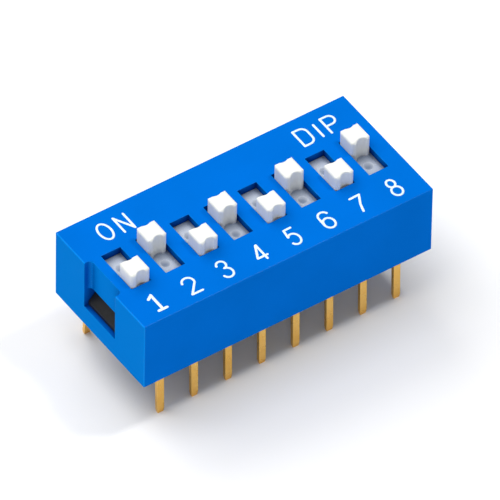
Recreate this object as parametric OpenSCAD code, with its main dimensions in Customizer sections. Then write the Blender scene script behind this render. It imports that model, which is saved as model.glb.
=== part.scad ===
// A slide dip switch for through-hole mounting: a blue cover snapped over a black base, with one white
// slide for each switch, a sprung bridge under each slide and two gold-plated terminals for it to join.
// The switches stand in a row along X, and +Y is their ON side. Z = 0 is at the tips of the legs, the
// X and Y axes meet at the middle of the housing, and every size is in millimetres.

/* [Row of switches] */
// Number of switches
ways = 8; // [2:1:12]
// Distance from one switch to the next
pitch = 2.54; // [2.1:0.01:3.2]
// Distance between the front and back rows of legs, where they leave the base
row_spacing = 7.62; // [6.3:0.01:9.2]
// Switches that stand at ON
on_switches = "even"; // [none, even, odd, all]
// How far switch 4 stands short of the ON end of its travel
short_4 = 0.3; // [0:0.02:0.6]
// How far switch 6 stands short of the ON end of its travel
short_6 = 0.18; // [0:0.02:0.6]

/* [Cover] */
// Height of the cover, from its rim to its top
case_height = 5.3; // [4.4:0.05:6.5]
// Thickness of the long walls, beside the base
side_wall = 0.75; // [0.5:0.05:1.2]
// Thickness of the roof between the slides
roof = 0.9; // [0.7:0.05:1.2]
// Radius of the outer edges
edge_radius = 0.08; // [0.04:0.01:0.3]
// Width of the recess in the -X end wall, and of the snap window in each end wall
recess_width = 3.4; // [2:0.1:5]
// Depth of that recess
recess_depth = 0.5; // [0.4:0.02:1]
// Radius of the recess's two inner corners
recess_round = 0.28; // [0.05:0.01:0.38]
// Wall left behind the recess
recess_wall = 0.53; // [0.3:0.01:0.8]
// Height of the ledge under the snap window, above the rim
ledge_height = 1.5; // [1:0.05:1.7]
// How much higher the snap window is outside than inside
window_rise = 0.28; // [0:0.02:0.5]

/* [Slots and travel] */
// Length of a slot, along the travel
slot_length = 3.4; // [2.8:0.05:4]
// How far the slots lie from the middle, towards ON
slot_offset = -0.05; // [-0.3:0.05:0.3]
// Gap between a knob and the front end of its slot at OFF
front_gap = 0.02; // [0.02:0.01:0.2]
// Gap between a knob and the back end of its slot at ON
back_gap = 0.02; // [0.02:0.01:0.4]

/* [Slides] */
// Width of a knob, across the travel
knob_width = 1.38; // [1.1:0.02:1.5]
// Length of a knob, along the travel
knob_length = 1.45; // [1:0.05:1.8]
// Height of a knob above the cover
knob_height = 1.08; // [0.3:0.02:2]
// Depth of the hollow in the front and back of a knob
knob_hollow = 0.18; // [0.04:0.02:0.34]
// Width of each ridge beside that hollow
knob_ridge = 0.32; // [0.1:0.01:0.36]
// Rounding of a knob's edges
knob_round = 0.2; // [0.02:0.01:0.25]
// How far the deck and block reach under the roof on each side of the slot's knob
deck_shoulder = 0.14; // [0.1:0.01:0.26]
// How far the deck still reaches under the roof, at the end of the slot that its knob has left
deck_overlap = 0.05; // [0.02:0.01:0.3]
// Thickness of the deck
deck_thickness = 0.5; // [0.3:0.05:0.6]
// Distance from the cover's top down to the deck
deck_depth = 0.54; // [0.3:0.01:0.6]
// Length of the block under the deck
block_length = 3.9; // [3.3:0.05:4.4]
// Height of the channel under the block, where the bridge sits
channel_height = 0.6; // [0.3:0.05:0.8]
// Thickness of the walls of that channel
channel_wall = 0.28; // [0.2:0.02:0.35]
// Radius of the peg that holds the bridge
peg_radius = 0.2; // [0.1:0.01:0.25]
// Radius of the peg's flattened head
peg_head_radius = 0.34; // [0.28:0.01:0.4]
// Height of that head
peg_head_height = 0.14; // [0.08:0.02:0.2]
// Radius of the ball that each dimple in the deck is cut with
dimple_ball = 0.48; // [0.4:0.02:1]
// Depth of each dimple
dimple_depth = 0.15; // [0.02:0.01:0.2]
// Distance from a knob to the middle of each dimple
dimple_reach = 0.8; // [0.5:0.05:1.2]

/* [Bridges] */
// Width of a bridge
bridge_width = 0.8; // [0.6:0.05:0.9]
// Thickness of its strip
bridge_thickness = 0.12; // [0.06:0.01:0.16]
// Length of its flat middle
bridge_flat = 1.4; // [1:0.05:1.6]
// Distance between its two feet
foot_spacing = 2.6; // [2.2:0.05:3]
// Outer radius of a foot
foot_radius = 0.26; // [0.18:0.02:0.35]
// Width of the slit that splits each arm into two fingers
slit_width = 0.16; // [0.08:0.02:0.25]
// Height of the space for the feet, between the pads and the slide's block
foot_space = 0.92; // [0.6:0.02:1.2]

/* [Terminals] */
// Length of the legs below the cover's rim
leg_length = 4.1; // [2.5:0.1:5.5]
// Thickness of the strip
strip = 0.25; // [0.15:0.01:0.3]
// Width of a leg
leg_width = 0.5; // [0.3:0.01:0.8]
// Width of the pad that the bridge wipes, and of the shoulders that seat in the base
pad_width = 0.9; // [0.75:0.05:0.95]
// Inner radius of the bend from pad to leg
bend = 0.2; // [0.1:0.02:0.4]
// How far the front row of tips is spread outwards
front_splay = 0.09; // [0:0.01:0.4]
// How far the back row of tips is spread outwards
back_splay = 0.44; // [0:0.01:0.5]
// Length of the taper at a tip
tip_length = 0.3; // [0.2:0.05:1]
// Taper on each side of a tip
tip_taper = 0.05; // [0:0.01:0.15]

/* [Base] */
// Thickness of the base, under the pads
floor_height = 1.6; // [1.3:0.05:2]
// How far the base's underside lies inside the rim
floor_recess = 0.15; // [0.05:0.05:0.4]
// Plastic left outside each row of legs
floor_edge = 0.2; // [0.1:0.02:0.4]
// Height of the shoulders' seats above the base's underside
seat_height = 0.6; // [0.3:0.05:0.9]
// Width of the hollow along the underside
core_width = 3.6; // [2:0.1:4.4]
// Depth of that hollow
core_depth = 0.45; // [0.2:0.05:0.8]
// Thickness of the upright behind each snap hook
hook_wall = 0.3; // [0.2:0.02:0.32]
// How far a hook's nose lies inside the end face
hook_inset = 0.3; // [0.1:0.02:0.4]
// Height of the hook's upright nose, under its slope
nose_height = 0.3; // [0.1:0.05:0.5]

/* [Clearances] */
// Beside each knob, in its slot
knob_clearance = 0.03; // [0.02:0.01:0.1]
// Beside each deck and block
slide_clearance = 0.05; // [0.02:0.01:0.1]
// Above each deck, under the roof
deck_clearance = 0.03; // [0.01:0.01:0.08]
// At each end of a deck's travel
stop_clearance = 0.1; // [0.05:0.05:0.3]
// Under each bridge's feet
foot_clearance = 0.03; // [0.01:0.01:0.08]
// Round the base, in the cover
base_clearance = 0.04; // [0.02:0.01:0.1]
// Round each terminal, in the base
terminal_clearance = 0.02; // [0.01:0.01:0.05]
// Round the peg, in the bridge's hole
peg_clearance = 0.03; // [0.01:0.01:0.05]

/* [Hidden] */
$fn = 48;
// How far a cut runs past the face that it opens
past = 0.3;

// Travel of a slide, and the places along Y of its knob's middle
travel = slot_length - knob_length - front_gap - back_gap;
off_y = slot_offset - slot_length / 2 + front_gap + knob_length / 2;
on_y = off_y + travel;
mid_y = (off_y + on_y) / 2;

// Plan of a slide under its knob: the deck fills the slot at both ends of the travel
slide_width = knob_width + 2 * deck_shoulder;
deck_length = knob_length + 2 * (travel + max(front_gap, back_gap) + deck_overlap);

// Outside of the cover: beyond the middle of each end switch there is room for its bay, and for a snap
// hook's upright beside its pads
slot_width = knob_width + 2 * knob_clearance;
bay_width = slide_width + 2 * slide_clearance;
end_room = max(bay_width / 2, pad_width / 2 + terminal_clearance + hook_wall + base_clearance);
end_margin = end_room + recess_wall + recess_depth;
side_margin = strip / 2 + floor_edge + base_clearance + side_wall;
case_length = (ways - 1) * pitch + 2 * end_margin;
case_width = row_spacing + 2 * side_margin;

// Levels, from the tips of the legs upwards
rim_z = leg_length;
floor_z = rim_z + floor_recess;
seat_z = floor_z + seat_height;
pad_z = floor_z + floor_height;
foot_z = pad_z + foot_clearance;
block_z = foot_z + foot_space;
channel_z = block_z + channel_height;
case_z = rim_z + case_height;
deck_z = case_z - deck_depth;
roof_z = case_z - roof;
ledge_z = rim_z + ledge_height;
window_z = block_z - base_clearance;

// Inside of the cover, as distances from the middle
end_in = case_length / 2 - recess_depth - recess_wall;
side_in = case_width / 2 - side_wall;
recess_in = case_length / 2 - recess_depth;

// Where the pads end: the gap between them is under the inner foot at OFF
front_pad_y = mid_y - 0.1;
back_pad_y = mid_y + foot_spacing / 2;

function switch_x(i) = (i - (ways + 1) / 2) * pitch;
function stands_on(i) = on_switches == "all" || on_switches == (i % 2 == 0 ? "even" : "odd");
function short_of_end(i) = i == 4 ? short_4 : i == 6 ? short_6 : 0;
function rest_y(i) = stands_on(i) ? on_y - short_of_end(i) : off_y;

// A box between two limits on each axis
module slab(x, y, z) {
    translate([x[0], y[0], z[0]]) cube([x[1] - x[0], y[1] - y[0], z[1] - z[0]]);
}

// A rectangle with its four corners rounded
module rounded_plan(length, width, radius) {
    square([length - 2 * radius, width], center = true);
    square([length, width - 2 * radius], center = true);
    for (x = [-1, 1], y = [-1, 1])
        translate([x * (length / 2 - radius), y * (width / 2 - radius)]) circle(radius);
}

// The outline that rounds a block's upper edges: an upright rectangle with two rounded corners, which
// starts below the block
module rounded_top(width, height, radius) {
    translate([-width / 2, -past]) square([width, height - radius + past]);
    translate([radius - width / 2, -past]) square([width - 2 * radius, height + past]);
    for (x = [-1, 1]) translate([x * (width / 2 - radius), height - radius]) circle(radius);
}

// A block whose upright and upper edges are rounded, standing at the given height
module rounded_block(length, width, bottom, top, radius) {
    translate([0, 0, bottom]) intersection() {
        linear_extrude(top - bottom) rounded_plan(length, width, radius);
        rotate([90, 0, 0]) linear_extrude(width + 2 * past, center = true)
            rounded_top(length, top - bottom, radius);
        rotate([90, 0, 90]) linear_extrude(length + 2 * past, center = true)
            rounded_top(width, top - bottom, radius);
    }
}

// The space that one slide moves in: its slot, the groove for its deck and the bay for its block
module slide_space() {
    reach = travel / 2 + deck_length / 2 + stop_clearance;
    slot_y = [slot_offset - slot_length / 2, slot_offset + slot_length / 2];
    slab([-slot_width / 2, slot_width / 2], slot_y, [roof_z, case_z + past]);
    bay_x = [-bay_width / 2, bay_width / 2];
    slab(bay_x, [mid_y - reach, mid_y + reach], [roof_z - past, deck_z + deck_clearance]);
    slab(bay_x, [-side_in, side_in], [pad_z, roof_z]);
}

// The recess in the -X end wall: open at the front and at the top
module end_recess() {
    translate([-case_length / 2, 0, ledge_z]) linear_extrude(case_height)
        rounded_plan(2 * recess_depth, recess_width, recess_round);
}

// The snap window in the +X end wall, from the given outer face in to the hook's room behind the wall. Its
// ceiling slopes up towards the outside.
module snap_window(outer) {
    hook_room = hook_wall + 2 * base_clearance;
    rotate([90, 0, 0]) linear_extrude(recess_width, center = true) polygon([
        [end_in - hook_room, ledge_z], [outer + past, ledge_z],
        [outer + past, window_z + window_rise], [outer, window_z + window_rise],
        [end_in, window_z], [end_in - hook_room, window_z]
    ]);
}

module cover() {
    color("dodgerblue") difference() {
        rounded_block(case_length, case_width, rim_z, case_z, edge_radius);
        slab([-end_in, end_in], [-side_in, side_in], [rim_z - past, pad_z + base_clearance]);
        for (i = [1:ways]) translate([switch_x(i), 0, 0]) slide_space();
        snap_window(case_length / 2);
        mirror([1, 0, 0]) snap_window(recess_in);
        end_recess();
    }
}

// Side view of the +X snap hook: an upright on the floor behind the window, and a wedge that slopes down
// from its top and out through the window, with a nose that rests on the ledge
module hook_profile() {
    nose_x = case_length / 2 - hook_inset;
    wall_x = end_in - base_clearance;
    top = window_z - base_clearance;
    under = ledge_z + terminal_clearance;
    polygon([
        [wall_x - hook_wall, floor_z + core_depth], [wall_x - hook_wall, top],
        [wall_x, top], [nose_x, under + nose_height], [nose_x, under],
        [wall_x, under], [wall_x, floor_z + core_depth]
    ]);
}

module base() {
    half_length = end_in - base_clearance;
    half_width = side_in - base_clearance;
    hook_width = recess_width - 2 * base_clearance;
    color([0.1, 0.1, 0.11]) {
        difference() {
            slab([-half_length, half_length], [-half_width, half_width], [floor_z, pad_z]);
            translate([0, 0, floor_z - past]) linear_extrude(core_depth + past)
                rounded_plan(2 * end_in - pitch, core_width, edge_radius);
            for (i = [1:ways]) translate([switch_x(i), 0, 0]) {
                terminal(-front_pad_y, front_splay, terminal_clearance);
                mirror([0, 1, 0]) terminal(back_pad_y, back_splay, terminal_clearance);
            }
        }
        for (side = [0, 1]) mirror([side, 0, 0]) rotate([90, 0, 0])
            linear_extrude(hook_width, center = true) hook_profile();
    }
}

// Plan of a knob: rounded corners, and a round hollow in the front and in the back
module knob_plan() {
    half_hollow = knob_width / 2 - knob_ridge;
    radius = (half_hollow * half_hollow + knob_hollow * knob_hollow) / (2 * knob_hollow);
    difference() {
        rounded_plan(knob_width, knob_length, knob_round);
        for (y = [-1, 1]) translate([0, y * (knob_length / 2 + radius - knob_hollow)]) circle(radius);
    }
}

// One slide, with its knob's middle at X = Y = 0
module slide() {
    half = slide_width / 2;
    knob_z = case_z + knob_height;
    channel = half - channel_wall;
    union() {
        intersection() {
            translate([0, 0, deck_z - past]) linear_extrude(knob_z - deck_z + past) knob_plan();
            rounded_block(knob_width, knob_length, deck_z - past, knob_z, knob_round);
        }
        difference() {
            slab([-half, half], deck_length * [-0.5, 0.5], [deck_z - deck_thickness, deck_z]);
            for (y = [-1, 1])
                translate([0, y * (knob_length / 2 + dimple_reach), deck_z + dimple_ball - dimple_depth])
                    sphere(dimple_ball);
        }
        difference() {
            slab([-half, half], block_length * [-0.5, 0.5], [block_z, deck_z - deck_thickness]);
            slab([-channel, channel], (block_length + past) * [-0.5, 0.5], [block_z - past, channel_z]);
        }
        translate([0, 0, channel_z - bridge_thickness - peg_head_height]) {
            cylinder(h = bridge_thickness + peg_head_height + past, r = peg_radius);
            cylinder(h = peg_head_height, r = peg_head_radius);
        }
    }
}

// Half of a bridge from the side: half its flat, one bent arm and its round foot. The foot's lowest
// point is at height 0, and the flat's upper face is at the given height.
module half_bridge_profile(height) {
    // Radius of the foot along the middle of its strip
    middle = foot_radius - bridge_thickness / 2;
    elbow = [bridge_flat / 2, height - bridge_thickness / 2];
    centre = [foot_spacing / 2, foot_radius];
    reach = norm(centre - elbow);
    // Direction of the arm, so that it runs into the foot without a kink
    slope = atan2(centre[1] - elbow[1], centre[0] - elbow[0]) - asin(middle / reach);
    touch = slope - 90;
    translate([0, height - bridge_thickness]) square([elbow[0], bridge_thickness]);
    translate(elbow) {
        circle(bridge_thickness / 2);
        rotate(slope) translate([0, -bridge_thickness / 2])
            square([sqrt(reach * reach - middle * middle), bridge_thickness]);
    }
    translate(centre) intersection() {
        difference() {
            circle(foot_radius);
            circle(foot_radius - bridge_thickness);
        }
        polygon([
            [0, 0], 2 * foot_radius * [cos(touch), sin(touch)],
            3 * foot_radius * [cos(touch / 2), sin(touch / 2)], 2 * foot_radius * [1, 0]
        ]);
    }
}

// One bridge, with its middle at X = Y = 0
module bridge() {
    height = channel_z - foot_z;
    slit_start = bridge_flat / 2;
    difference() {
        for (side = [0, 1]) mirror([0, side, 0]) translate([0, 0, foot_z]) rotate([90, 0, 90])
            linear_extrude(bridge_width, center = true) half_bridge_profile(height);
        translate([0, 0, channel_z - bridge_thickness - past])
            cylinder(h = bridge_thickness + 2 * past, r = peg_radius + peg_clearance);
        for (y = [-1, 1]) translate([0, y * (slit_start + foot_spacing / 2), foot_z + height / 2])
            cube([slit_width, foot_spacing, height + past], center = true);
    }
}

// The area inside a bend of the given radius, out to an end and down to a level
module inside_bend(centre, radius, end_y, low_z) {
    translate(centre) circle(radius);
    translate([centre[0] - radius, low_z]) square([end_y - centre[0] + radius, centre[1] - low_z]);
    translate([centre[0], low_z]) square([end_y - centre[0], centre[1] + radius - low_z]);
}

// Side view of a terminal of the front row: a pad that ends at the given distance in front of the
// middle, a bend, and a leg whose tip is spread outwards by the given splay. Grown by a clearance, it is
// the hole that the base has for it.
module terminal_profile(pad_end, splay, grow) {
    half = strip / 2 + grow;
    end_y = grow - pad_end;
    leg_y = -row_spacing / 2;
    tip_y = leg_y - splay;
    lean_y = leg_y - splay * (rim_z - tip_length) / rim_z;
    centre = [leg_y + strip / 2 + bend, pad_z - strip - bend];
    difference() {
        inside_bend(centre, bend + strip + grow, end_y, rim_z);
        inside_bend(centre, bend - grow, end_y + past, rim_z - past);
    }
    polygon([
        [leg_y - half, floor_z], [leg_y - half, rim_z], [lean_y - half, tip_length],
        [tip_y - half + tip_taper / 2, 0], [tip_y + half - tip_taper / 2, 0],
        [lean_y + half, tip_length], [leg_y + half, rim_z], [leg_y + half, floor_z]
    ]);
}

// Front view of a terminal: wide down to its shoulders, then a leg with a tapered tip
module terminal_outline(grow) {
    leg = leg_width / 2 + grow;
    pad = pad_width / 2 + grow;
    half = [
        [leg - tip_taper, 0], [leg, tip_length],
        [leg, seat_z - grow], [pad, seat_z - grow], [pad, pad_z + past]
    ];
    polygon(concat(half, [for (k = [len(half) - 1:-1:0]) [-half[k][0], half[k][1]]]));
}

// A terminal of the front row, at X = 0
module terminal(pad_end, splay, grow = 0) {
    intersection() {
        rotate([90, 0, 90]) linear_extrude(2 * pad_width, center = true)
            terminal_profile(pad_end, splay, grow);
        rotate([90, 0, 0]) linear_extrude(2 * case_width, center = true) terminal_outline(grow);
    }
}

// The pieces of one switch, each at its own place in the row

module actuator(i) {
    color("white") translate([switch_x(i), rest_y(i), 0]) slide();
}

module contact(i) {
    color("gold") translate([switch_x(i), rest_y(i), 0]) bridge();
}

module terminal_front(i) {
    color("goldenrod") translate([switch_x(i), 0, 0]) terminal(-front_pad_y, front_splay);
}

module terminal_back(i) {
    color("goldenrod") translate([switch_x(i), 0, 0]) mirror([0, 1, 0]) terminal(back_pad_y, back_splay);
}

cover();
base();
for (i = [1:ways]) {
    actuator(i);
    contact(i);
    terminal_front(i);
    terminal_back(i);
}
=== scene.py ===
# %% [markdown]
# # An eight-way dip switch
# A dip switch is a row of tiny slide switches in one housing, soldered to a circuit board. The CAD model
# gives the housing, the slides, the gold-plated terminals and the sprung bridges inside, each at its
# real size. This notebook adds what CAD leaves out: the finish of every surface, the printed lettering,
# and a studio to look at it in. It starts by loading that model and keeping its box, because nothing
# that is added here may make the part bigger.

# %% The frame
import math

import bpy
from mathutils import Matrix, Vector


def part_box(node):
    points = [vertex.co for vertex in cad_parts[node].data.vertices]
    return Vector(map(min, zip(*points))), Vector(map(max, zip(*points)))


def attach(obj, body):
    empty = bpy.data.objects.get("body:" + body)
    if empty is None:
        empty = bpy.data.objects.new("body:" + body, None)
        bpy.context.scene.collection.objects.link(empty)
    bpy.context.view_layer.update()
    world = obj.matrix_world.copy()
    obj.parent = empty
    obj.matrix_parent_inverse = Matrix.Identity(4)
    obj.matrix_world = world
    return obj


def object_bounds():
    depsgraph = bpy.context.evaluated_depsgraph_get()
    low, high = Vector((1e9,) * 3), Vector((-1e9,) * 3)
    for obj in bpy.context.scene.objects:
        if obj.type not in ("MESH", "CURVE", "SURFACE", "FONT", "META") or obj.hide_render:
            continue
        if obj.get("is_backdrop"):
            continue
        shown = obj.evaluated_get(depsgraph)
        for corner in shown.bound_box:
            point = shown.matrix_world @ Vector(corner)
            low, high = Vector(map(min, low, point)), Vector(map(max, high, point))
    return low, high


MM = 0.001
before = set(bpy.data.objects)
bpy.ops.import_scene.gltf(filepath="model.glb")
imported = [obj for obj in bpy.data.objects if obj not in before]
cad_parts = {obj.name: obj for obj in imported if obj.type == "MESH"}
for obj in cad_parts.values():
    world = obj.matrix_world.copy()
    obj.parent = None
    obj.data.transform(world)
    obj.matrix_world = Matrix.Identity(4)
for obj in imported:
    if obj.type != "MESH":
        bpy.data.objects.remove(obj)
cad_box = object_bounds()
print("CAD box in mm:", [[round(v / MM, 2) for v in corner] for corner in cad_box])

# %% [markdown]
# Three helpers serve the whole notebook. Colours are easiest to pick as sRGB hex values, as on a colour
# chart, but shaders count in linear light, so the first helper converts them. The second gives a node its
# inputs, by name, or by number where two share a name. An input is a plain number or colour, or a link
# from another node. A link can be given as that node itself, which then stands for its first output that
# is in use. The third helper adds a node to a tree, with the node's own settings as keywords.

# %% Helpers
def colour(hex_code):
    channels = [int(hex_code[i : i + 2], 16) / 255 for i in (1, 3, 5)]
    linear = [c / 12.92 if c <= 0.04045 else ((c + 0.055) / 1.055) ** 2.4 for c in channels]
    return (*linear, 1.0)


def connect(tree, node, inputs):
    for name, value in inputs.items():
        if isinstance(value, bpy.types.Node):
            value = next(output for output in value.outputs if output.enabled)
        if isinstance(value, bpy.types.NodeSocket):
            tree.links.new(value, node.inputs[name])
        else:
            node.inputs[name].default_value = value


def add(tree, kind, inputs=None, **settings):
    node = tree.nodes.new(kind)
    for name, value in settings.items():
        setattr(node, name, value)
    connect(tree, node, inputs or {})
    return node


print("a mid blue in linear light:", [round(c, 3) for c in colour("#0073E0")])

# %% [markdown]
# ## The camera
# The view is from above and the front, 35 degrees round to the left, through a very long lens, so the
# edges of the housing stay almost parallel. A camera looks along its own -Z, so its place and turn are
# built from three directions: to the right, up, and back towards the viewer. A slight roll tilts the view.
# All angles here are in degrees, and an azimuth counts from +X towards +Y. The lens is in millimetres, as
# Blender takes it.

# %% Camera
CAMERA_AZIMUTH = -125.06
CAMERA_ELEVATION = 45.77
CAMERA_ROLL = 1.04
CAMERA_DISTANCE = 830.6 * MM
CAMERA_LENS = 962.8
CAMERA_AIM = Vector((0.707, 0.362, 5.184)) * MM
FARTHEST_SEEN = 10_000 * MM


def direction(azimuth, elevation):
    azimuth = math.radians(azimuth)
    elevation = math.radians(elevation)
    across = math.cos(elevation)
    return Vector((math.cos(azimuth) * across, math.sin(azimuth) * across, math.sin(elevation)))


back = direction(CAMERA_AZIMUTH, CAMERA_ELEVATION)
right = Matrix.Rotation(math.radians(CAMERA_ROLL), 3, back) @ direction(CAMERA_AZIMUTH + 90, 0)
up = back.cross(right)
camera_place = CAMERA_AIM + back * CAMERA_DISTANCE

camera = bpy.data.objects.new("camera", bpy.data.cameras.new("camera"))
camera.data.lens = CAMERA_LENS
camera.data.clip_end = FARTHEST_SEEN
camera.matrix_world = Matrix.Translation(camera_place) @ Matrix((right, up, back)).transposed().to_4x4()
bpy.context.scene.collection.objects.link(camera)
bpy.context.scene.camera = camera
print("camera at", [round(v / MM) for v in camera_place], "mm")

# %% [markdown]
# ## The studio
# The part stands on its legs on a white paper floor, in a white room that fills all shadows softly. Three
# large softboxes hang above it, at the back, the back left and nearly overhead on the left. They light the
# top, and leave the floor in front and on the right in a long soft shadow. A smaller one, low at the front
# left, lights the front and the left end but hardly reaches the floor. The lamp high at the front right is
# the only light small enough to draw thin shadows: it gives each leg one that points back and to the left.
# The floor takes the first material, so the helpers for all of them come first.

# %% A new material
def new_material(name, inputs):
    """A material whose Principled shader starts with these inputs."""
    material = bpy.data.materials.new(name)
    material.use_nodes = True
    set_shader(material, inputs)
    return material


def set_shader(material, inputs):
    connect(material.node_tree, material.node_tree.nodes["Principled BSDF"], inputs)


paper = new_material(
    "white_paper_matt", {"Base Color": colour("#F3F3F3"), "Roughness": 0.9, "Specular IOR Level": 0.0},
)
print("the floor will be", paper.name)

# %% Floor
FLOOR_SIZE = 1200 * MM
half_floor = FLOOR_SIZE / 2
floor_z = cad_box[0].z
corners = [(x * half_floor, y * half_floor, floor_z) for x, y in ((-1, -1), (1, -1), (1, 1), (-1, 1))]
floor_mesh = bpy.data.meshes.new("paper_floor")
floor_mesh.from_pydata(corners, [], [(0, 1, 2, 3)])
floor_mesh.materials.append(paper)
floor = bpy.data.objects.new("paper_floor", floor_mesh)
bpy.context.scene.collection.objects.link(floor)
floor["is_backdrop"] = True
print("floor at", round(floor_z / MM, 3), "mm")

# %% Softboxes
SOFTBOX_DISTANCE = 300 * MM
LARGE_SOFTBOX = 200 * MM
LOW_SOFTBOX = 120 * MM
SMALL_LAMP = 45 * MM


def softbox(name, azimuth, elevation, watts, size):
    """A round softbox that faces the part."""
    towards_light = direction(azimuth, elevation)
    data = bpy.data.lights.new(name, "AREA")
    data.shape = "DISK"
    data.size = size
    data.energy = watts
    light = bpy.data.objects.new(name, data)
    light.location = CAMERA_AIM + towards_light * SOFTBOX_DISTANCE
    light.rotation_euler = towards_light.to_track_quat("Z", "Y").to_euler()
    bpy.context.scene.collection.objects.link(light)


softbox("back_left_softbox", azimuth=135, elevation=48, watts=0.24, size=LARGE_SOFTBOX)
softbox("back_softbox", azimuth=90, elevation=48, watts=0.30, size=LARGE_SOFTBOX)
softbox("overhead_left_softbox", azimuth=180, elevation=75, watts=0.34, size=LARGE_SOFTBOX)
softbox("low_front_left_softbox", azimuth=240, elevation=10, watts=0.175, size=LOW_SOFTBOX)
softbox("small_front_right_lamp", azimuth=329, elevation=66, watts=0.235, size=SMALL_LAMP)
print("lights in watts:", {light.name: round(light.energy, 3) for light in bpy.data.lights})

# %% White room
WORLD_STRENGTH = 0.32
world = bpy.data.worlds.new("white_room")
world.use_nodes = True
room_light = world.node_tree.nodes["Background"]
connect(world.node_tree, room_light, {"Color": colour("#FFFFFF"), "Strength": WORLD_STRENGTH})
bpy.context.scene.world = world
bpy.context.scene.view_settings.view_transform = "Standard"
print("the room shines with a strength of", WORLD_STRENGTH)

# %% [markdown]
# ## Materials
# Every material starts from what the real one is and how its surface was made. Moulded plastic takes its
# surface from the steel mould. The mould of a part this small is spark-eroded, which leaves a fine, even
# grain of about 0.03 mm, so the plastic is satin and not glossy. At this scale that grain would vanish, so
# it is drawn three times as coarse, and shallow. It lies on a normal that a Bevel node has rounded near
# every edge, because no moulded edge is sharp.

# %% Moulded surface
GRAIN_SIZE = 0.09 * MM
GRAIN_HEIGHT = 0.0012 * MM
EDGE_SAMPLES = 6


def eroded_grain(tree, place, normal, height=GRAIN_HEIGHT):
    """The normal of a surface that was moulded against spark-eroded steel."""
    grain = add(
        tree, "ShaderNodeTexNoise",
        {"Vector": place, "Scale": 1 / GRAIN_SIZE, "Detail": 2.0, "Roughness": 0.6},
    )
    return add(
        tree, "ShaderNodeBump", {"Strength": 1.0, "Distance": height, "Height": grain, "Normal": normal},
    )


print("grain drawn every", round(GRAIN_SIZE / MM, 3), "mm")

# %% [markdown]
# No real surface is one even colour, so each material drifts between two close ones over patches of a
# size that suits it, and its roughness drifts too. Noise is rarely near 0 or 1, so the range that it
# mostly keeps to is stretched to the full one. Other colours are then laid over that first one in turn,
# each with a share that says where it shows.

# %% Patches and layers
NOISE_LOW = 0.35
NOISE_HIGH = 0.65


def layered(tree, base, layers):
    """A base colour under layers of others, each of which shows by its own share from 0 to 1."""
    for share, over in layers:
        base = add(tree, "ShaderNodeMix", {"Factor": share, "A": base, "B": over}, data_type="RGBA")
    return base


def varied(tree, place, size, low, high):
    """A colour or number that drifts between two values over patches of the given size."""
    patches = add(tree, "ShaderNodeTexNoise", {"Vector": place, "Scale": 1 / size, "Detail": 3.0})
    share = add(
        tree, "ShaderNodeMapRange", {"Value": patches, "From Min": NOISE_LOW, "From Max": NOISE_HIGH},
    )
    if isinstance(low, float):
        connect(tree, share, {"To Min": low, "To Max": high})
        return share
    return layered(tree, low, [(share, high)])


def describe(material):
    nodes = material.node_tree.nodes
    kinds = {node.bl_label for node in nodes}
    telling = sorted(kind for kind in kinds if kind.endswith(("Texture", "Bevel", "Occlusion")))
    print(material.name, "has", len(nodes), "nodes, among them", ", ".join(telling))


print("noise from", NOISE_LOW, "to", NOISE_HIGH, "is stretched to 0 to 1")

# %% [markdown]
# The cover is PBT, a polyester that moulds into thin walls and stands the heat of soldering, coloured
# right through with a strong blue. Its faces come from eroded steel and are almost matt, so their mirror
# reflection is turned nearly off. Its edges come from the seams of the mould, where the steel is polished,
# so they have a faint gloss. That gloss is a coat over the plastic, which follows the rounded edges but
# not the grain.

# %% Blue cover
COVER_PATCH = 5 * MM
COVER_EDGE = 0.07 * MM
cover_plastic = new_material(
    "blue_pbt_moulded_satin",
    {"IOR": 1.5, "Specular IOR Level": 0.002, "Coat Roughness": 0.2, "Coat IOR": 1.5},
)
tree = cover_plastic.node_tree
place = add(tree, "ShaderNodeTexCoord").outputs["Object"]
rounded = add(tree, "ShaderNodeBevel", {"Radius": COVER_EDGE}, samples=EDGE_SAMPLES)
blue = varied(tree, place, COVER_PATCH, colour("#0069CC"), colour("#0066C6"))
set_shader(
    cover_plastic,
    {
        "Roughness": varied(tree, place, COVER_PATCH, 0.42, 0.50),
        "Normal": eroded_grain(tree, place, rounded),
        "Coat Normal": rounded,
    },
)
describe(cover_plastic)

# %% [markdown]
# In the slots, the recess and the windows light is scarce and has bounced off the plastic many times, so
# the blue is painted darker there, a navy that stands in for that shade. An Ambient Occlusion node
# measures the share of the sky that a point sees. The top is left out of that, or each slide would
# stand in a painted dark ring.

# %% The cover's slots
SLOT_REACH = 1.0 * MM
SKY_SAMPLES = 8
NAVY_STARTS = 0.97
NAVY_IS_FULL = 0.5
TOP_SKIN = 0.02 * MM
cover_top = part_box("cover")[1].z
height = add(tree, "ShaderNodeSeparateXYZ", {"Vector": place}).outputs["Z"]
on_top = add(tree, "ShaderNodeMath", {0: height, 1: cover_top - TOP_SKIN}, operation="GREATER_THAN")
sky = add(tree, "ShaderNodeAmbientOcclusion", {"Distance": SLOT_REACH}, samples=SKY_SAMPLES).outputs["AO"]
sky_or_top = add(tree, "ShaderNodeMath", {0: sky, 1: on_top}, operation="ADD")
# painted shade: the share of the painted navy, from how little sky a point sees
painted_slot_shade = add(
    tree, "ShaderNodeMapRange", {"Value": sky_or_top, "From Min": NAVY_STARTS, "From Max": NAVY_IS_FULL},
)
print("the top of the cover is at", round(cover_top / MM, 3), "mm")

# %% [markdown]
# Every face of the cover looks along an axis. So on a face the rounded normal has one part near 1, and at
# an edge it leans away from all three axes. Only the outer edges count, which see most of the sky.

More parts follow.
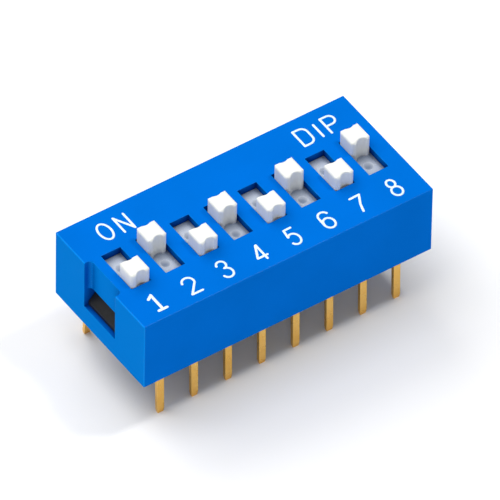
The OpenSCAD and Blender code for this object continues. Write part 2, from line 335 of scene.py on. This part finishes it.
# %% The cover's edges
FLAT_FACE = 0.995
EDGE_IS_FULL = 0.93
SLOT_EDGE_SKY = 0.8
OUTER_EDGE_SKY = 0.95
sizes = add(tree, "ShaderNodeVectorMath", {"Vector": rounded}, operation="ABSOLUTE")
along = add(tree, "ShaderNodeSeparateXYZ", {"Vector": sizes}).outputs
largest = add(tree, "ShaderNodeMath", {0: along["X"], 1: along["Y"]}, operation="MAXIMUM")
largest = add(tree, "ShaderNodeMath", {0: largest, 1: along["Z"]}, operation="MAXIMUM")
leaning = add(
    tree, "ShaderNodeMapRange", {"Value": largest, "From Min": FLAT_FACE, "From Max": EDGE_IS_FULL},
)
outside = add(
    tree, "ShaderNodeMapRange", {"Value": sky, "From Min": SLOT_EDGE_SKY, "From Max": OUTER_EDGE_SKY},
)
edge = add(tree, "ShaderNodeMath", {0: leaning, 1: outside}, operation="MULTIPLY")
print("an edge starts where the largest part of the normal is under", FLAT_FACE)

# %% [markdown]
# The two ends are painted a lighter, greener blue than the rest, as painted light, and their edges
# lighter still, as a painted highlight. So the part of the normal along X is the share of the first
# layer over the blue. The painted navy shade of the slots lies over that one, because the recess is in
# an end, and the painted highlight of the end edges comes last.

# %% The cover's layers
EDGE_GLOSS = 0.1
# painted highlight: a lighter blue on the edges of the two ends
painted_end_edge_highlight = add(tree, "ShaderNodeMath", {0: edge, 1: along["X"]}, operation="MULTIPLY")
gloss = add(tree, "ShaderNodeMath", {0: edge, 1: EDGE_GLOSS}, operation="MULTIPLY")
# painted light on the ends, by how far the normal looks along X; painted navy shade in the slots; painted
# highlight on the end edges
blue_layers = [(along["X"], colour("#0077D0")), (painted_slot_shade, colour("#003A8C")), (painted_end_edge_highlight, colour("#0089E6"))]
set_shader(cover_plastic, {"Base Color": layered(tree, blue, blue_layers), "Coat Weight": gloss})
describe(cover_plastic)

# %% [markdown]
# The slides are the same plastic with white pigment. It lets a little light in, which comes out again
# about 0.2 mm away, so their shadows are soft and their thin edges glow. They are small and tumbled after
# moulding, so their edges are rounder than the cover's.

# %% White slides
SLIDE_EDGE = 0.13 * MM
SLIDE_PATCH = 1.5 * MM
GLOW_REACH = 0.2 * MM
slide_plastic = new_material(
    "white_pbt_moulded_satin",
    {
        "IOR": 1.5, "Subsurface Weight": 0.35,
        "Subsurface Radius": (1.0, 1.0, 1.0), "Subsurface Scale": GLOW_REACH,
    },
)
tree = slide_plastic.node_tree
place = add(tree, "ShaderNodeTexCoord").outputs["Object"]
rounded = add(tree, "ShaderNodeBevel", {"Radius": SLIDE_EDGE}, samples=EDGE_SAMPLES)
white = varied(tree, place, SLIDE_PATCH, colour("#E8EAE5"), colour("#E4E5E1"))
set_shader(
    slide_plastic,
    {
        "Roughness": varied(tree, place, SLIDE_PATCH, 0.36, 0.46),
        "Normal": eroded_grain(tree, place, rounded),
    },
)
describe(slide_plastic)

# %% [markdown]
# Each slide is one piece, a knob on a flat deck that closes the bottom of the slot. Down there the deck
# is painted a blue-grey, for the shade and the blue light from the walls, and painted greyer towards
# them. It has a small dimple for the tip of a pen, and what is lower than the deck is painted darker with
# its depth, as shade in the dimple. All three layers show on level faces only.

# %% Decks and dimples
DECK_UNDER_TOP = 0.56 * MM
DIMPLE_DEPTH = 0.13 * MM
GREY_IS_FULL = 0.4
deck_level = cover_top - DECK_UNDER_TOP
dimple_level = deck_level - DIMPLE_DEPTH
level = add(tree, "ShaderNodeSeparateXYZ", {"Vector": rounded}).outputs["Z"]
height = add(tree, "ShaderNodeSeparateXYZ", {"Vector": place}).outputs["Z"]
sky = add(tree, "ShaderNodeAmbientOcclusion", {"Distance": SLOT_REACH}, samples=SKY_SAMPLES).outputs["AO"]
painted_deck_shade_layers = []
for measure, start, full, over in (
    # painted shade: level faces below the top of the cover take a blue-grey
    (height, cover_top, deck_level, "#CFD7E4"),
    # painted shade: grey where a level face sees little sky
    (sky, 1.0, GREY_IS_FULL, "#5E6B7F"),
    # painted shade: darker with depth inside the dimples
    (height, deck_level, dimple_level, "#7A879C"),
):
    share = add(tree, "ShaderNodeMapRange", {"Value": measure, "From Min": start, "From Max": full})
    on_level = add(tree, "ShaderNodeMath", {0: share, 1: level}, operation="MULTIPLY")
    painted_deck_shade_layers.append((on_level, colour(over)))
set_shader(slide_plastic, {"Base Color": layered(tree, white, painted_deck_shade_layers)})
print("decks at", round(deck_level / MM, 3), "mm, with dimples down to", round(dimple_level / MM, 3), "mm")

# %% [markdown]
# The base is PBT too, coloured with carbon black and filled with short glass fibres for stiffness, which
# leave it a little rougher than the cover, with faint grey streaks where the fibres come near the surface.

# %% Black base
FIBRE_STREAK = 0.25 * MM
BASE_EDGE = 0.05 * MM
base_plastic = new_material("black_glass_filled_pbt_moulded", {"IOR": 1.5, "Specular IOR Level": 0.35})
tree = base_plastic.node_tree
place = add(tree, "ShaderNodeTexCoord").outputs["Object"]
rounded = add(tree, "ShaderNodeBevel", {"Radius": BASE_EDGE}, samples=EDGE_SAMPLES)
set_shader(
    base_plastic,
    {
        "Base Color": varied(tree, place, FIBRE_STREAK, colour("#0B0C0D"), colour("#16171A")),
        "Roughness": varied(tree, place, FIBRE_STREAK, 0.42, 0.56),
        "Normal": eroded_grain(tree, place, rounded, height=2 * GRAIN_HEIGHT),
    },
)
describe(base_plastic)

# %% [markdown]
# The terminals and bridges are stamped from phosphor bronze strip and then gold plated, so all that shows
# is gold. The strip was rolled along its length before it was plated, and the rolling lines run down each
# leg and blur its reflections. The plating is thinner in places, so its colour drifts slightly, and it is
# scuffed here and there, so its roughness drifts over smaller patches.

# %% Gold terminals
PLATING_PATCH = 1.2 * MM
SCUFF = 0.4 * MM
ROLLING_LINE = 0.03 * MM
ROLLING_HEIGHT = 0.0003 * MM
ROLLING_STRETCH = 20
STRIP_EDGE = 0.03 * MM
terminal_gold = new_material("gold_plated_bronze_strip", {"Metallic": 1.0})
tree = terminal_gold.node_tree
place = add(tree, "ShaderNodeTexCoord").outputs["Object"]
rounded = add(tree, "ShaderNodeBevel", {"Radius": STRIP_EDGE}, samples=EDGE_SAMPLES)
drawn_out = add(tree, "ShaderNodeMapping", {"Vector": place, "Scale": (1.0, 1.0, 1 / ROLLING_STRETCH)})
lines = add(tree, "ShaderNodeTexNoise", {"Vector": drawn_out, "Scale": 1 / ROLLING_LINE, "Detail": 1.0})
rolled = add(tree, "ShaderNodeBump", {"Distance": ROLLING_HEIGHT, "Height": lines, "Normal": rounded})
set_shader(
    terminal_gold,
    {
        "Base Color": varied(tree, place, PLATING_PATCH, colour("#F8C86E"), colour("#F2BC5C")),
        "Roughness": varied(tree, place, SCUFF, 0.26, 0.38),
        "Normal": rolled,
    },
)
describe(terminal_gold)

# %% [markdown]
# Each node of the CAD model is one piece, named for what it is and numbered where there are several. So
# the first word of its name picks its material. The bridges are the same plated strip as the terminals.

# %% Dressing the nodes
finishes = {
    "cover": cover_plastic, "base": base_plastic, "actuator": slide_plastic,
    "contact": terminal_gold, "terminal": terminal_gold,
}
for name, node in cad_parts.items():
    node.data.materials.clear()
    node.data.materials.append(finishes[name.split("_")[0]])
print("dressed", len(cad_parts), "nodes")

# %% [markdown]
# ## The lettering
# The numbers of the switches, ON and DIP are pad printed: a soft silicone pad picks up white ink from an
# etched plate and stamps it on the cover, which leaves a film about a hundredth of a millimetre thick.
# Each letter is a stroke of one width with round ends, as a stencil pen draws it. So each is described
# here by the middle line of its strokes, in millimetres from its own centre, and Geometry Nodes gives all
# of them their width. A font would give its own letter shapes, and these are plainer than most.

# %% Strokes
ARC_STEP = math.radians(12)


def line(*points):
    return list(points)


def arc(centre, radii, start, end):
    """Points along part of an ellipse, with angles in degrees, anticlockwise from +X."""
    start = math.radians(start)
    end = math.radians(end)
    count = max(2, math.ceil(abs(end - start) / ARC_STEP))
    angles = [start + (end - start) * k / count for k in range(count + 1)]
    return [(centre[0] + radii[0] * math.cos(a), centre[1] + radii[1] * math.sin(a)) for a in angles]


def ring(centre, radii):
    return arc(centre, radii, 0, 360)


print("a ring has", len(ring((0, 0), (0.4, 0.7))), "points")

# %% Letters
LETTERS = {
    "O": [ring((0, 0), (0.42, 0.715))],
    "N": [
        line((-0.38, -0.69), (-0.38, 0.69)), line((-0.38, 0.69), (0.38, -0.69)),
        line((0.38, -0.69), (0.38, 0.69)),
    ],
    "D": [
        line((-0.42, -0.71), (-0.42, 0.71)),
        line((-0.42, 0.71)) + arc((0, 0.28), (0.43, 0.43), 90, 0) + arc((0, -0.28), (0.43, 0.43), 0, -90)
        + line((-0.42, -0.71)),
    ],
    "I": [line((0, -0.62), (0, 0.54))],
    "P": [
        line((-0.42, -0.66), (-0.42, 0.72)),
        line((-0.42, 0.72)) + arc((0.05, 0.35), (0.36, 0.37), 90, -90) + line((-0.42, -0.02)),
    ],
}
print("letters:", " ".join(LETTERS))

# %% Digits
DIGITS = {
    "1": [line((-0.32, 0.42), (0, 0.64)), line((0, 0.66), (0, -0.72)), line((-0.3, -0.72), (0.3, -0.72))],
    "2": [arc((0, 0.29), (0.40, 0.40), 170, -30) + line((-0.34, -0.70)), line((-0.34, -0.71), (0.42, -0.72))],
    "3": [arc((-0.02, 0.39), (0.31, 0.33), 170, -80), arc((-0.02, -0.34), (0.37, 0.41), 85, -160)],
    "4": [
        line((0.18, 0.62), (0.18, -0.68)), line((0.14, 0.62), (-0.34, -0.38)),
        line((-0.34, -0.41), (0.36, -0.40)),
    ],
    "5": [
        line((-0.23, 0.69), (0.28, 0.71)), line((-0.23, 0.69), (-0.31, 0.10)),
        arc((-0.03, -0.25), (0.37, 0.48), 140, -145),
    ],
    "6": [ring((0, -0.29), (0.37, 0.44)), arc((0, 0.34), (0.36, 0.39), 25, 180) + line((-0.37, -0.29))],
    "7": [line((-0.36, 0.69), (0.36, 0.72)), line((0.36, 0.72), (-0.02, -0.02), (-0.2, -0.62))],
    "8": [ring((0, 0.40), (0.27, 0.33)), ring((0, -0.33), (0.35, 0.40))],
}
print("digits:", " ".join(DIGITS))

# %% [markdown]
# Each digit stands in front of its own switch, a hair to the left of the slide's middle. The two words
# stand behind the first and the last switches, with their letters spread evenly about a middle.

# %% Places on the cover
DIGIT_Y = -3.49
DIGIT_SHIFT = -0.05
WORD_Y = 3.245
ON_MIDDLE = -7.515
ON_SPACING = 1.39
DIP_MIDDLE = 7.73
DIP_SPACING = 1.03


def slide_middle(digit):
    low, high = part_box("actuator_" + digit)
    return round((low.x + high.x) / 2 / MM, 3)


def word(letters, middle, spacing):
    first = (1 - len(letters)) / 2
    return [(letter, middle + (first + k) * spacing, WORD_Y) for k, letter in enumerate(letters)]


places = [(digit, slide_middle(digit) + DIGIT_SHIFT, DIGIT_Y) for digit in DIGITS]
places += word("ON", ON_MIDDLE, ON_SPACING) + word("DIP", DIP_MIDDLE, DIP_SPACING)
print("printed:", "".join(name for name, x, y in places))

# %% [markdown]
# All the strokes go into one curve object, with its points already at their real places, so the finished
# mesh needs no move. The film sinks a little into the cover, so that no gap shows under it. The 1 takes a
# little more ink than the rest, so its points have a larger radius, which the sweep below turns into a
# wider and thicker stroke.

# %% Lines of the lettering
INK_THICKNESS = 0.016 * MM
INK_SUNK = 0.004 * MM
HEAVIER = {"1": 1.25}
ink_level = cover_top + INK_THICKNESS / 2 - INK_SUNK

strokes = bpy.data.curves.new("lettering_lines", "CURVE")
strokes.dimensions = "3D"
for name, x, y in places:
    for stroke in (LETTERS | DIGITS)[name]:
        spline = strokes.splines.new("POLY")
        spline.points.add(len(stroke) - 1)
        for point, (u, v) in zip(spline.points, stroke):
            point.co = ((x + u) * MM, (y + v) * MM, ink_level, 1)
            point.radius = HEAVIER.get(name, 1.0)
lettering_lines = bpy.data.objects.new("lettering_lines", strokes)
bpy.context.scene.collection.objects.link(lettering_lines)
print(len(strokes.splines), "strokes, with their middle at", round(ink_level / MM, 3), "mm")

# %% [markdown]
# The ink is a white pigment in a clear binder. It dries satin, a shade cooler than the slides, and is a
# little thinner in some spots, where the blue below shows through it.

# %% White ink
INK_SPOT = 0.12 * MM
ink = new_material("white_ink_pad_printed", {"IOR": 1.48})
tree = ink.node_tree
place = add(tree, "ShaderNodeTexCoord").outputs["Object"]
set_shader(
    ink,
    {
        "Base Color": varied(tree, place, INK_SPOT, colour("#EAF6FD"), colour("#D3EAF9")),
        "Roughness": varied(tree, place, INK_SPOT, 0.46, 0.56),
    },
)
describe(ink)

# %% [markdown]
# A Geometry Nodes tree turns the lines into a film of ink. It sweeps a flat rectangle along every stroke,
# sets a thin disc on both ends of each to round them, and joins all that overlaps into one skin with a
# Boolean union, so no two faces share a plane. The width, the thickness and the ink are inputs of the
# tree, so one change there alters every letter. Its last two nodes make real geometry and give it its
# material, because the hand-over drops instances.

# %% The tree and its inputs
film_tree = bpy.data.node_groups.new("printed_film", "GeometryNodeTree")
for name, kind in (
    ("Lines", "Geometry"), ("Stroke width", "Float"), ("Film thickness", "Float"), ("Ink", "Material"),
):
    film_tree.interface.new_socket(name, in_out="INPUT", socket_type="NodeSocket" + kind)
film_tree.interface.new_socket("Film", in_out="OUTPUT", socket_type="NodeSocketGeometry")
given = add(film_tree, "NodeGroupInput").outputs
print("inputs:", ", ".join(output.name for output in given if output.name))

# %% Sweeping the strokes
flat_lines = add(film_tree, "GeometryNodeSetCurveNormal", {"Curve": given["Lines"]}, mode="Z_UP")
section = add(
    film_tree, "GeometryNodeCurvePrimitiveQuadrilateral",
    {"Width": given["Stroke width"], "Height": given["Film thickness"]}, mode="RECTANGLE",
)
pen_size = add(film_tree, "GeometryNodeInputRadius")
swept = add(
    film_tree, "GeometryNodeCurveToMesh",
    {"Curve": flat_lines, "Profile Curve": section, "Scale": pen_size, "Fill Caps": True},
)
print("the sweep takes", len(film_tree.nodes), "nodes")

# %% Rounding the ends of the strokes
DISC_SIDES = 20
half_width = add(film_tree, "ShaderNodeMath", {0: given["Stroke width"], 1: 0.5}, operation="MULTIPLY")
disc = add(
    film_tree, "GeometryNodeMeshCylinder",
    {"Vertices": DISC_SIDES, "Radius": half_width, "Depth": given["Film thickness"]},
)
ends = add(film_tree, "GeometryNodeCurveEndpointSelection")
discs = add(
    film_tree, "GeometryNodeInstanceOnPoints",
    {"Points": flat_lines, "Selection": ends, "Instance": disc, "Scale": pen_size},
)
print("each end has a disc of", DISC_SIDES, "sides")

# %% Joining the film
together = add(film_tree, "GeometryNodeJoinGeometry", {"Geometry": swept})
connect(film_tree, together, {"Geometry": discs})
one_skin = add(
    film_tree, "GeometryNodeMeshBoolean",
    {"Mesh 2": together, "Self Intersection": True}, operation="UNION", solver="EXACT",
)
real_skin = add(film_tree, "GeometryNodeRealizeInstances", {"Geometry": one_skin})
inked = add(film_tree, "GeometryNodeSetMaterial", {"Geometry": real_skin, "Material": given["Ink"]})
add(film_tree, "NodeGroupOutput", {"Film": inked})
print("the tree has", len(film_tree.nodes), "nodes")

# %% [markdown]
# A modifier runs the tree on the lines, with the sizes of this print. Its result becomes a plain mesh, so
# the modifier and the lines have done their work and go.

# %% Printing
STROKE_WIDTH = 0.15 * MM
printing = lettering_lines.modifiers.new("printing", "NODES")
printing.node_group = film_tree
settings = {"Stroke width": STROKE_WIDTH, "Film thickness": INK_THICKNESS, "Ink": ink}
for socket in film_tree.interface.items_tree:
    if socket.name in settings:
        printing[socket.identifier] = settings[socket.name]
evaluated = lettering_lines.evaluated_get(bpy.context.evaluated_depsgraph_get())
lettering_mesh = bpy.data.meshes.new_from_object(evaluated)
lettering_lines.modifiers.remove(printing)
bpy.data.objects.remove(lettering_lines)
lettering = bpy.data.objects.new("printed_lettering", lettering_mesh)
bpy.context.scene.collection.objects.link(lettering)
film_top = max(vertex.co.z for vertex in lettering_mesh.vertices)
print("printed", len(lettering_mesh.polygons), "faces,", round((film_top - cover_top) / MM, 4), "mm high")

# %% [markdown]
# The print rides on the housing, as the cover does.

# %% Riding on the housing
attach(lettering, "housing")

# %% [markdown]
# ## The box
# The box of all that shows is written beside the box of the CAD model. They are the same, because the
# lettering lies lower than the knobs and well inside the cover's outline.

# %% The two boxes
visual_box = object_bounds()
changes = [round((v - c) / MM, 4) for shown, made in zip(visual_box, cad_box) for v, c in zip(shown, made)]
print("the box changed by", changes, "mm")
